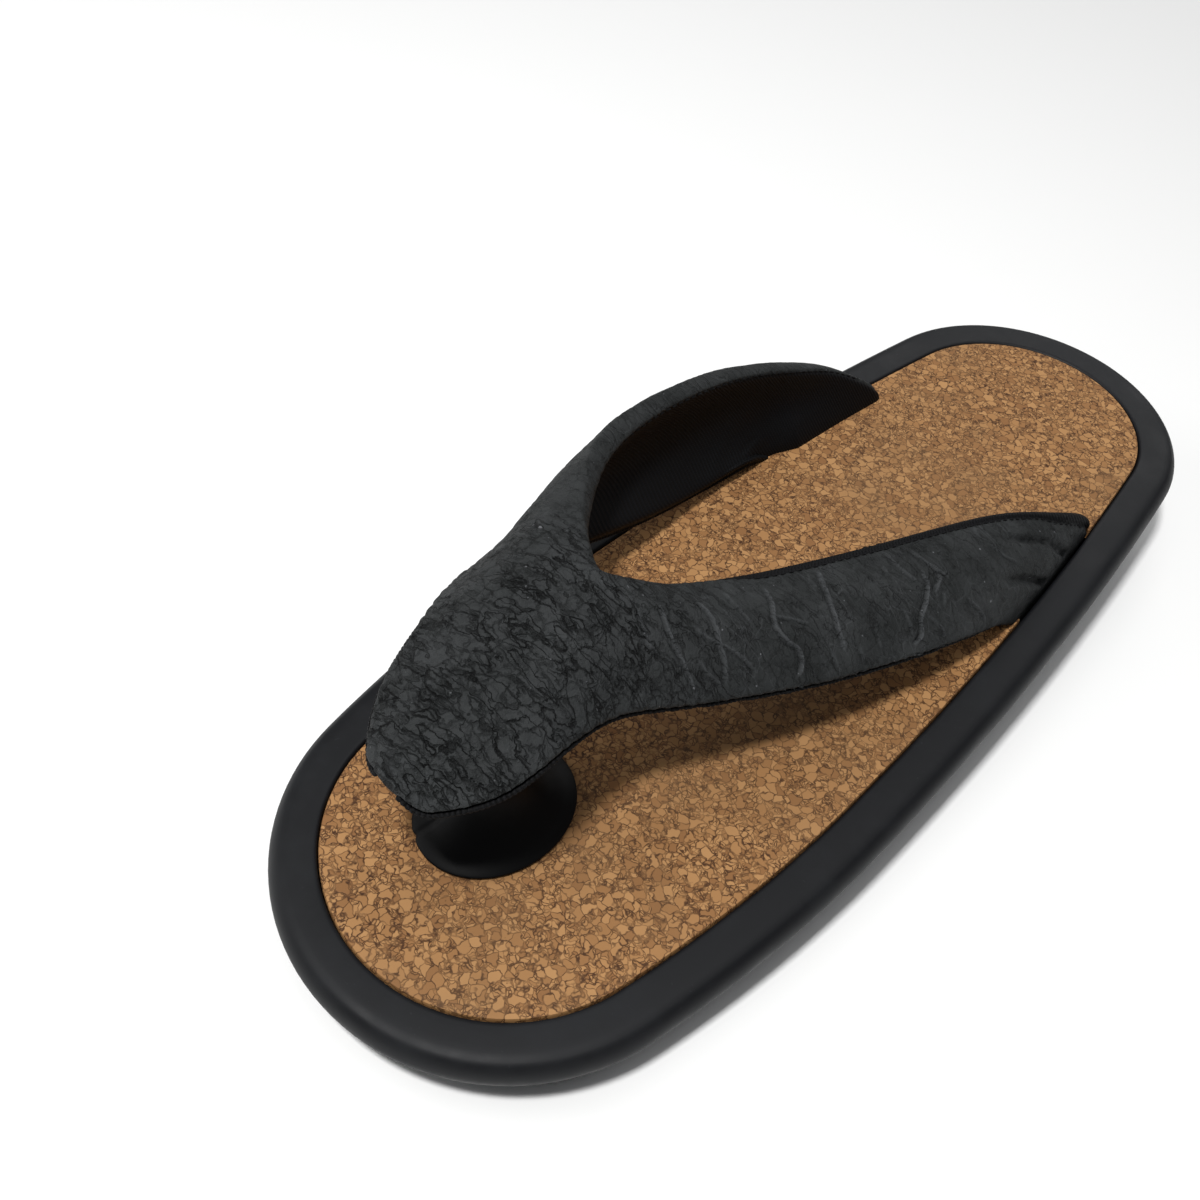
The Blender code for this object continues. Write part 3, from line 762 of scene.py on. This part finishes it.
# main creases of the lateral strap by row and share across, each with its depth; trough on the lobe's side
creases = {
    "rise": 0.55, "width": 0.26, "troughGap": 0.55, "fineReach": 1.3,
    "lines": (
        (1.0, ((3.85, 0.20), (3.82, 0.46), (3.84, 0.62), (3.90, 0.76), (3.97, 0.97))),
        (1.0, ((4.27, 0.18), (4.31, 0.38), (4.28, 0.60), (4.28, 0.78), (4.25, 0.97))),
        (0.6, ((4.28, 0.60), (4.45, 0.76), (4.54, 0.90))),
        (0.5, ((4.10, 0.42), (4.18, 0.54), (4.28, 0.60))),
        (1.2, ((4.94, 0.14), (4.90, 0.32), (4.82, 0.52), (4.86, 0.68), (4.94, 0.78), (4.93, 0.92),
               (4.88, 1.0))),
        (0.5, ((4.86, 0.46), (5.00, 0.52), (5.10, 0.58))),
        (1.2, ((5.41, 0.06), (5.36, 0.32), (5.35, 0.52), (5.35, 0.70), (5.39, 0.88))),
        (0.4, ((5.25, 0.84), (5.28, 1.0))),
        (0.6, ((5.93, 0.06), (6.02, 0.28), (6.16, 0.44))),
        (1.2, ((6.20, 0.34), (6.27, 0.50), (6.28, 0.66), (6.25, 0.78), (6.32, 0.92), (6.25, 1.0))),
        (0.8, ((6.30, 0.32), (6.39, 0.46), (6.35, 0.60))),
        (0.6, ((6.13, 0.12), (6.25, 0.28), (6.50, 0.50))),
        (0.4, ((5.72, 0.74), (5.82, 0.94))),
        (0.4, ((5.55, 0.86), (5.60, 1.0))),
        (0.5, ((4.58, 0.10), (4.60, 0.34), (4.63, 0.48))),
        (0.5, ((6.00, 0.64), (6.12, 0.80), (6.19, 0.90))),
        (0.6, ((6.32, 0.76), (6.60, 0.92), (6.70, 1.0))),
        (0.5, ((6.45, 0.58), (6.53, 0.76))),
        (0.6, ((6.78, 0.70), (7.10, 0.84), (7.40, 0.97))),
        (0.6, ((3.52, 0.30), (3.52, 0.46), (3.56, 0.64))),
        (0.4, ((5.30, 0.12), (5.30, 0.28))),
        (0.4, ((5.87, 0.20), (5.91, 0.34))),
        (0.5, ((4.05, 0.70), (4.10, 0.82), (4.22, 0.96))),
        (0.5, ((6.9, 0.25), (7.1, 0.38), (7.35, 0.46))),
    ),
    "tucks": (((7.00, 0.20), (7.5, 0.24), (8.6, 0.32)), ((7.20, 0.60), (7.9, 0.64), (8.6, 0.62))),
    "tuckDepth": 1.9, "tuckWidth": 0.9,
}
lateralGrid = [[Vector(onDeck(*p)) / mm for p in line] for line in strapRows("lateral", 1)]


def lateralPoint(place, share):
    # point of the lateral strap's middle surface at a table row and a share across
    place = min(place * strap["rowsPerSection"], len(lateralGrid) - 1.001)
    share = min(share * strap["across"], strap["across"] - 0.001)
    i, j = int(place), int(share)
    low = lateralGrid[i][j].lerp(lateralGrid[i][j + 1], share - j)
    high = lateralGrid[i + 1][j].lerp(lateralGrid[i + 1][j + 1], share - j)
    return low.lerp(high, place - i)


def lineDistance(line, picked, facing):
    # distance along the outer face from a crease, its sign telling the lobe's side, and how far along it lies
    path = curveThrough([lateralPoint(*spot) for spot in line], 5)
    path = [np.array(p) for p in path]
    startRow, startShare = line[0]
    ahead = np.array(lateralPoint(startRow + 0.4, startShare) - lateralPoint(startRow - 0.4, startShare))
    best = np.full(len(picked), 1e9)
    signed = np.zeros(len(picked))
    along = np.zeros(len(picked))
    for k, (a, b) in enumerate(zip(path, path[1:])):
        step = b - a
        t = np.clip(((picked - a) @ step) / (step @ step), 0, 1)
        away = picked - (a + t[:, None] * step)
        # the strap's half wall lies between the path and the outer face
        away = away - facing * (away * facing).sum(1)[:, None]
        flat = np.sqrt((away ** 2).sum(1))
        closer = flat < best
        best = np.where(closer, flat, best)
        signed = np.where(closer, np.sign(away @ ahead) * flat, signed)
        along = np.where(closer, (k + t) / (len(path) - 1), along)
    return best, signed, along


# finer faces along the creases
face = np.where((wrap > 0.5) & (side > 0))[0]
near = np.zeros(len(points), bool)
for depth, line in creases["lines"]:
    far, signed, along = lineDistance(line, points[face], normals[face])
    near[face[far < creases["fineReach"]]] = True
refine(strapPiece, near, any)
points, normals = readPoints(strapPiece.data)
row, across, side, wrap, edgeAcross = measureStrap(points)
count = len(points)
print("stage: strap refined,", len(strapPiece.data.polygons), "faces")

# where the cover ends, as a way round the edge: well inside on the throat and the medial strap, on the
# outside of the lateral strap's throat edge, and just above the crest of the lobe's and lower edges
seams = {"throat": -6.0, "medialEnd": -3.5, "binding": 7.2, "lobe": 1.7, "outer": 1.5}
innerEdge = edgeAcross < 0.5
lateral = side > 0
goal = np.full(count, seams["outer"])
goal[(row < 3.2) & ~innerEdge] = seams["lobe"]
toBinding = np.clip((row - 3.6) / 1.4, 0, 1) ** 0.8
toEnd = np.clip((row - 5.0) / 3.0, 0, 1)
goal = np.where(innerEdge & lateral, seams["throat"] + (seams["binding"] - seams["throat"]) * toBinding, goal)
goal = np.where(innerEdge & ~lateral, seams["throat"] + (seams["medialEnd"] - seams["throat"]) * toEnd, goal)
beyond = goal - wrap       # millimetres past the seam, on the lining's side

# crumple: a coarse net of pressed folds, in the mesh; the shader adds the fine one
crumple = {
    "cell": 6.0, "depth": 0.3, "wave": 13.0, "waveRise": 0.4, "bendCell": 8.0, "bend": 2.6,
    "valleyWidth": 0.22, "foldCell": 5.5, "foldWidth": 0.09, "lobe": 1.0, "strap": 0.42, "seamDepth": 0.5,
    "seamWidth": 0.8, "liningDrop": 0.3, "pucker": 0.09, "puckerPitch": 2.6, "puckerReach": 1.6, "seed": 7,
    # the medial strap's inner side near its end: places along the shoe and how far it comes out there
    "rootY": (25, 32, 39, 58, 75), "rootMove": (-2.4, -1.3, 1.0, 0.7, 0.6),
}
# without a seed the vector noise starts from the clock
noise.seed_set(crumple["seed"])
move = np.zeros(count)
fade = np.clip((row - 3.3) / 1.2, 0, 1)
coarse = crumple["lobe"] + (crumple["strap"] - crumple["lobe"]) * fade
outside = np.clip(-beyond / 1.5, 0, 1) * np.clip((wrap - 1.0) / 4.0, 0.25, 1)
for i in range(count):
    place = Vector(points[i])
    bend = noise.noise_vector(place / crumple["bendCell"]) * crumple["bend"]
    ways, spots = noise.voronoi((place + bend) / crumple["cell"])
    valley = max(0.0, 1 - (ways[1] - ways[0]) / crumple["valleyWidth"])
    cross = Vector((place.x * 0.4, place.y, place.z * 0.75)) + bend * 0.5
    height = noise.noise(cross / crumple["foldCell"] + Vector((7, 3, 1)))
    fold = max(0.0, 1 - abs(height) / crumple["foldWidth"])
    wave = noise.noise(place / crumple["wave"]) * crumple["waveRise"]
    move[i] = outside[i] * (wave - coarse[i] * crumple["depth"] * max(0.8 * valley, fold))
rubbed = np.zeros(count)
face = np.where((wrap > 0.5) & lateral)[0]
picked = points[face]
facing = normals[face]
for depth, line in creases["lines"]:
    far, signed, along = lineDistance(line, picked, facing)
    ends = np.clip(along / 0.12, 0, 1) * np.clip((1 - along) / 0.12, 0, 1)
    ridge = np.exp(-(signed / creases["width"]) ** 2) * ends * depth
    trough = np.exp(-((signed + creases["troughGap"]) / (creases["width"] * 1.1)) ** 2) * ends * depth
    move[face] += creases["rise"] * (ridge * 0.75 - trough)
    # painted highlight: each crease ridge is weighted for the cover shader to draw paler
    rubbed[face] = np.maximum(rubbed[face], ridge * 0.75)
for line in creases["tucks"]:
    far, signed, along = lineDistance(line, picked, facing)
    tuck = np.exp(-(signed / creases["tuckWidth"]) ** 2) * np.clip(along / 0.4, 0, 1)
    move[face] -= creases["tuckDepth"] * tuck
inside = np.clip(beyond / 1.5, 0, 1)
move -= inside * crumple["liningDrop"] * (wrap < 0)
# inside, the medial strap is pinched where its lower edge enters the footbed and padded thicker behind that
root = np.clip((row - 7.2) / 1.2, 0, 1) * np.clip(-(wrap + 1.0) / 4.0, 0, 1) * ~lateral
move += root * np.interp(points[:, 1], crumple["rootY"], crumple["rootMove"])
move -= crumple["seamDepth"] * np.exp(-(beyond / crumple["seamWidth"]) ** 2)
# small puckers across the seam where the cover is pulled round the edge
pucker = np.sin(2 * math.pi * points[:, 1] / crumple["puckerPitch"] + 3 * np.sin(points[:, 1] / 9))
move += crumple["pucker"] * pucker * np.exp(-((beyond + 2.0) / crumple["puckerReach"]) ** 2)
points = points + normals * move[:, None]
strapPiece.data.vertices.foreach_set("co", (points * mm).ravel())
for key, values in (("lining", np.clip(0.5 + beyond / 8, 0, 1)), ("crumple", coarse), ("rubbed", rubbed)):
    layer = strapPiece.data.attributes.new(key, "FLOAT", "POINT")
    layer.data.foreach_set("value", values)
for key in ("row", "across", "side"):
    strapPiece.data.attributes.remove(strapPiece.data.attributes[key])
strapPiece.data.update()
strapPiece.data.shade_smooth()
bpy.data.objects.remove(sheetPiece)
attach(strapPiece, "root")
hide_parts("upper")
print("stage: strap cover made")


def contourPaths(mesh, values, keep):
    # chains of points where a value crosses zero on the mesh, with the normals there
    links = {}
    spots = {}
    for poly in mesh.polygons:
        hits = []
        for a, b in poly.edge_keys:
            if (values[a] > 0) != (values[b] > 0) and keep[a] and keep[b]:
                hits.append((a, b))
                t = values[a] / (values[a] - values[b])
                spots[(a, b)] = (points[a] + (points[b] - points[a]) * t, normals[a])
        if len(hits) == 2:
            links.setdefault(hits[0], []).append(hits[1])
            links.setdefault(hits[1], []).append(hits[0])
    chains = []
    todo = set(links)
    while todo:
        ends = [key for key in todo if len(links[key]) == 1]
        key = min(ends) if ends else min(todo)
        chain = []
        while key in todo:
            todo.discard(key)
            chain.append(key)
            key = next((other for other in links[key] if other in todo), None)
        if len(chain) > 12:
            chains.append([spots[key] for key in chain])
    return chains


def smoothChain(chain, rounds):
    path = np.array([spot for spot, normal in chain])
    lift = np.array([normal for spot, normal in chain])
    for i in range(rounds):
        path[1:-1] = (path[:-2] + 2 * path[1:-1] + path[2:]) / 4
        lift[1:-1] = (lift[:-2] + 2 * lift[1:-1] + lift[2:]) / 4
    lift /= np.linalg.norm(lift, axis=1, keepdims=True)
    return path, lift


def pathPiece(name, chains, rise):
    # polyline mesh a little over the surface
    bm = bmesh.new()
    for chain in chains:
        path, lift = smoothChain(chain, 12)
        verts = [bm.verts.new(Vector(p) * mm) for p in path + lift * rise]
        for a, b in zip(verts, verts[1:]):
            bm.edges.new((a, b))
    return meshPiece(name, bm)


def stitchTree():
    # evenly spaced stitches along a polyline: pitch, stitch length and thread radius are inputs
    tree = bpy.data.node_groups.new("seamStitches", "GeometryNodeTree")
    face = tree.interface
    face.new_socket("Geometry", in_out="INPUT", socket_type="NodeSocketGeometry")
    for name in ("Pitch", "Stitch Length", "Thread Radius"):
        face.new_socket(name, in_out="INPUT", socket_type="NodeSocketFloat")
    face.new_socket("Thread", in_out="INPUT", socket_type="NodeSocketMaterial")
    face.new_socket("Geometry", in_out="OUTPUT", socket_type="NodeSocketGeometry")
    given = addNode(tree, "NodeGroupInput").outputs
    line = addNode(tree, "GeometryNodeMeshToCurve", {"Mesh": given["Geometry"]})
    dots = addNode(tree, "GeometryNodeResampleCurve", {"Curve": line.outputs["Curve"],
                                                       "Length": given["Pitch"]}, mode="LENGTH")
    bead = addNode(tree, "GeometryNodeMeshUVSphere", {"Segments": 8, "Rings": 6, "Radius": 1.0})
    shape = addNode(tree, "ShaderNodeCombineXYZ", {"X": given["Thread Radius"], "Y": given["Thread Radius"],
                                                   "Z": given["Stitch Length"]})
    tangent = addNode(tree, "GeometryNodeInputTangent")
    turn = addNode(tree, "FunctionNodeAlignRotationToVector", {"Vector": tangent.outputs["Tangent"]},
                   axis="Z")
    laid = addNode(tree, "GeometryNodeInstanceOnPoints", {"Points": dots.outputs["Curve"],
                                                          "Instance": bead.outputs["Mesh"],
                                                          "Rotation": turn.outputs["Rotation"],
                                                          "Scale": shape.outputs["Vector"]})
    real = addNode(tree, "GeometryNodeRealizeInstances", {"Geometry": laid.outputs["Instances"]})
    dyed = addNode(tree, "GeometryNodeSetMaterial", {"Geometry": real.outputs["Geometry"],
                                                     "Material": given["Thread"]})
    addNode(tree, "NodeGroupOutput", {"Geometry": dyed.outputs["Geometry"]})
    return tree


def sewPath(piece, tree, settings):
    sewn = piece.modifiers.new("stitches", "NODES")
    sewn.node_group = tree
    for item in tree.interface.items_tree:
        if item.in_out == "INPUT" and item.name in settings:
            sewn[item.identifier] = settings[item.name]
    bakeModifiers(piece)
    piece.data.shade_smooth()
    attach(piece, "root")


stitches = stitchTree()
aboveSlot = row < 8.4
throatEdge = innerEdge & (~lateral | (row < 4.6)) & aboveSlot
lateralBinding = innerEdge & lateral & (row > 4.4) & aboveSlot
# name, where on the strap, distance past the seam, rise over the cover, pitch, stitch length, thread radius
seamKinds = (
    ("throatStitches", throatEdge, -0.3, 0.12, 2.4, 0.85, 0.28),
    ("bindingStitches", lateralBinding, -0.25, 0.1, 2.2, 0.7, 0.24),
    ("edgeCord", ~innerEdge & aboveSlot, 0.7, 0.3, 1.0, 0.72, 0.55),
)
for name, area, past, rise, pitch, length, radius in seamKinds:
    chains = contourPaths(strapPiece.data, beyond - past, area)
    sewPath(pathPiece(name, chains, rise), stitches, {"Pitch": pitch * mm, "Stitch Length": length * mm,
                                                      "Thread Radius": radius * mm, "Thread": thread})
print("stage: seams sewn")

# toe post

post = {
    "x": -6.8, "y": -90.7, "halfWidth": 14.5, "halfLength": 17.6, "sides": 216, "seam": 0.4,
    "seamAngle": math.radians(247), "seamWidth": 0.05,
    # radius and height over the footbed, from the foot's edge to under the lobe
    "profile": ((14.1, 0.3), (14.5, 0.75), (14.2, 1.15), (13.3, 1.8), (11.9, 2.7), (10.4, 3.9), (8.7, 5.4),
                (7.0, 7.4), (5.6, 9.8), (4.7, 12.6), (4.1, 15.6), (3.85, 19.0), (3.8, 23.0), (4.0, 26.0),
                (4.6, 28.6), (5.2, 31.0)),
}
rings = []
for radiusHere, high in curveThrough(post["profile"], 4):
    ring = []
    for i in range(post["sides"]):
        angle = 2 * math.pi * i / post["sides"]
        reach = radiusHere - post["seam"] * math.exp(-((angle - post["seamAngle"]) / post["seamWidth"]) ** 2)
        stretch = 1 + (post["halfLength"] / post["halfWidth"] - 1) * min(1.0, radiusHere / post["halfWidth"])
        x = post["x"] + reach * math.cos(angle)
        y = post["y"] + reach * stretch * math.sin(angle)
        ring.append(onDeck(x, y, high))
    rings.append(ring)
postPiece = newPiece("toePost", loftRings(rings), postRubber)
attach(postPiece, "root")
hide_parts("toe_post")
print("stage: toe post made")

# floor, light and camera

studio = {"floor": "#FAFAF9", "floorSize": 3.0, "world": "#F2F4F7", "worldStrength": 0.15}
floorLook, floorTree, floorShader = newMaterial("paintedFloor", 0.9)
floorShader.inputs["Base Color"].default_value = fromHex(studio["floor"])
bm = bmesh.new()
bmesh.ops.create_grid(bm, x_segments=1, y_segments=1, size=studio["floorSize"])
floor = meshPiece("floor", bm, floorLook)

world = bpy.data.worlds.new("studio")
bpy.context.scene.world = world
world.use_nodes = True
background = world.node_tree.nodes["Background"]
background.inputs["Color"].default_value = fromHex(studio["world"])
background.inputs["Strength"].default_value = studio["worldStrength"]


def areaLight(name, place, target, size, power):
    light = bpy.data.lights.new(name, "AREA")
    light.shape = "RECTANGLE"
    light.size, light.size_y = size
    light.energy = power
    made = placed(name, light)
    made.location = place
    made.rotation_euler = (Vector(target) - Vector(place)).to_track_quat("-Z", "Y").to_euler()


# metres and watts
areaLight("skylightKey", (0.0, -0.42, 0.98), (0, 0, 0), (0.11, 0.11), 9.0)
areaLight("ceilingSoft", (0.0, 0.2, 1.3), (0, 0, 0), (1.3, 1.3), 4.0)
areaLight("leftFill", (-0.85, -0.55, 0.45), (0, 0, 0), (0.7, 0.5), 2.5)
areaLight("backSoft", (-0.35, 1.35, 0.9), (0, 0.25, 0), (1.2, 0.7), 4.5)

bpy.context.scene.view_settings.view_transform = "Standard"
view = {"place": (86.56, -196.83, 228.62), "right": (0.7180, 0.68564, 0.12002),
        "ahead": (-0.40677, 0.55325, -0.72695), "lens": 37.99, "sensor": 36.0}
camera = bpy.data.cameras.new("photoCamera")
camera.lens = view["lens"]
camera.sensor_width = view["sensor"]
camera.clip_start = 0.01
cameraPiece = placed("photoCamera", camera)
back = -Vector(view["ahead"]).normalized()
right = (Vector(view["right"]) - back * Vector(view["right"]).dot(back)).normalized()
up = back.cross(right)
turned = Matrix((right, up, back)).transposed().to_4x4()
cameraPiece.matrix_world = Matrix.Translation(Vector(view["place"]) * mm) @ turned
bpy.context.scene.camera = cameraPiece
print("stage: floor, light and camera set")

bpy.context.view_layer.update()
